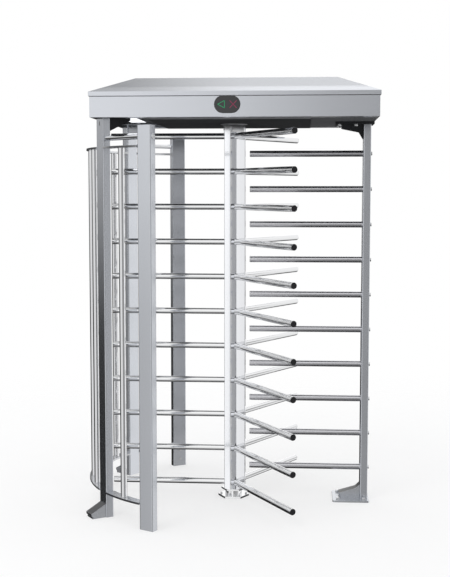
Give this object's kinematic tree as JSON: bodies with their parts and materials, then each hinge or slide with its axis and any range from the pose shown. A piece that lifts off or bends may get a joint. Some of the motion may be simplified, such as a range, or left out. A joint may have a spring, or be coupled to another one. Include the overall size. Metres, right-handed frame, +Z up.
{
  "type": "full height turnstile",
  "caption": "Full height turnstile: a rotor of level arms turns between a comb of fixed bars and a curved guard of upright tubes, under a hip-roofed canopy with its indexing drive.",
  "frame": {"origin": "on the floor at the rotor's axis, under the floor pivot", "axes": "+Z up; +X towards the comb of fixed bars; -Y towards the approach side shown in the picture"},
  "size_m": [1.49, 1.3488, 2.178],
  "materials": {
    "satin_steel": "satin",
    "comb_steel": "satin",
    "canopy_steel": "satin",
    "drive_steel": "satin",
    "polished_steel": "polished",
    "rotor_chrome": "polished",
    "guard_chrome": "polished",
    "black_paint": "satin",
    "tray_paint": "satin",
    "window_gloss": "gloss"
  },
  "bodies": {
    "frame": {"floor_pivot": "polished_steel", "head_bearing": "drive_steel", "solenoid_front": "black_paint", "solenoid_rear": "black_paint", "comb_bar_01": "comb_steel", "comb_bar_02": "comb_steel", "comb_bar_03": "comb_steel", "comb_bar_04": "comb_steel", "comb_bar_05": "comb_steel", "comb_bar_06": "comb_steel", "comb_bar_07": "comb_steel", "comb_bar_08": "comb_steel", "comb_bar_09": "comb_steel", "comb_bar_10": "comb_steel", "comb_post": "satin_steel", "comb_foot_bracket": "satin_steel", "comb_head_bracket": "black_paint", "guard_post_front_end": "satin_steel", "guard_post_front": "satin_steel", "guard_post_rear": "satin_steel", "guard_post_rear_end": "satin_steel", "inner_foot_front": "drive_steel", "inner_foot_rear": "drive_steel", "lower_ring_front": "satin_steel", "lower_ring_middle": "satin_steel", "lower_ring_rear": "satin_steel", "upper_ring_front": "satin_steel", "upper_ring_middle": "satin_steel", "upper_ring_rear": "satin_steel", "guard_tube_1": "guard_chrome", "guard_tube_2": "guard_chrome", "guard_tube_3": "guard_chrome", "guard_tube_4": "guard_chrome", "guard_tube_5": "guard_chrome", "guard_tube_6": "guard_chrome", "guard_tube_7": "guard_chrome", "tie_tube_front": "guard_chrome", "tie_tube_rear": "guard_chrome", "guard_foot_bracket_front": "satin_steel", "guard_foot_bracket_rear": "satin_steel", "guard_head_bracket_front": "black_paint", "guard_head_bracket_rear": "black_paint", "canopy_tray": "tray_paint", "front_cover": "canopy_steel", "rear_cover": "canopy_steel", "end_cover_comb_side": "canopy_steel", "end_cover_guard_side": "canopy_steel", "lid": "canopy_steel", "signal_window_front": "window_gloss", "signal_window_rear": "window_gloss"},
    "rotor": {"rotor_wing_rear": "rotor_chrome", "rotor_wing_left": "rotor_chrome", "rotor_wing_front": "rotor_chrome", "rotor_foot_flange": "polished_steel", "rotor_shaft": "drive_steel", "drive_wheel": "drive_steel"},
    "index_lever": {"index_lever": "drive_steel"},
    "lock_bolt_front": {"lock_bolt_front": "polished_steel"},
    "lock_bolt_rear": {"lock_bolt_rear": "polished_steel"},
    "lid_lock": {"lid_lock": "polished_steel"}
  },
  "joints": [
    {"name": "rotor_spin", "type": "hinge", "parent": "frame", "child": "rotor", "pos_m": [0, 0, 0], "axis": [0, 0, 1], "continuous": true},
    {"name": "index_lever_swing", "type": "hinge", "parent": "frame", "child": "index_lever", "pos_m": [-0.1205, 0.11, 2.01], "axis": [0, 0, 1], "range_deg": [0, 2.5]},
    {"name": "lock_bolt_front_slide", "type": "slide", "parent": "frame", "child": "lock_bolt_front", "axis": [0, 1, 0], "range_m": [0, 0.013]},
    {"name": "lock_bolt_rear_slide", "type": "slide", "parent": "frame", "child": "lock_bolt_rear", "axis": [0, -1, 0], "range_m": [0, 0.013]},
    {"name": "lid_lock_turn", "type": "hinge", "parent": "frame", "child": "lid_lock", "pos_m": [0.26, 0.5, 2.06], "axis": [0, 1, 0], "range_deg": [0, 90]}
  ]
}
